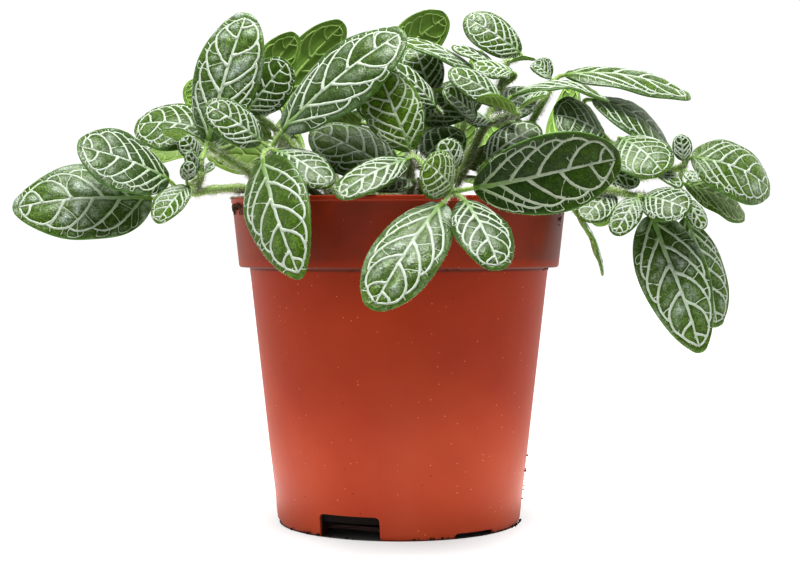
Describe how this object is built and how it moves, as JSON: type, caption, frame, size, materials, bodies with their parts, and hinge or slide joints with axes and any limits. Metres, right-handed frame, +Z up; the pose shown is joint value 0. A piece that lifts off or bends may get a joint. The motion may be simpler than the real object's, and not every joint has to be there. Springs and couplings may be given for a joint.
{
  "type": "potted nerve plant",
  "caption": "Potted nerve plant: leafy creeping stems with white-veined oval green leaves growing from soil in a round tapered plastic nursery pot",
  "frame": {"origin": "centre of the pot's foot, on the surface that it stands on", "axes": "+Z up; the viewer of the picture stands at -Y and looks along +Y; +X is to the viewer's right and is the longest extent"},
  "size_m": [0.2645, 0.1768, 0.186],
  "materials": {
    "pot": "satin injection-moulded polypropylene, terracotta colour",
    "soil": "loose dark peat soil, moist and matt",
    "leaf": "soft leaf with a faint sheen, dark green with raised cream-white veins"
  },
  "bodies": {
    "root": {"pot": "pot", "soil": "soil", "shoot_left": "leaf", "shoot_left_behind": "leaf", "shoot_front_left": "leaf", "shoot_top_left": "leaf", "shoot_front": "leaf", "shoot_top": "leaf", "shoot_top_right": "leaf", "shoot_right_high": "leaf", "shoot_right": "leaf", "shoot_far_right": "leaf", "shoot_right_front": "leaf", "shoot_rim_right": "leaf", "shoot_behind_1": "leaf", "shoot_behind_2": "leaf", "shoot_behind_3": "leaf", "shoot_behind_4": "leaf", "shoot_inner_1": "leaf", "shoot_inner_2": "leaf", "shoot_inner_3": "leaf"}
  },
  "joints": []
}
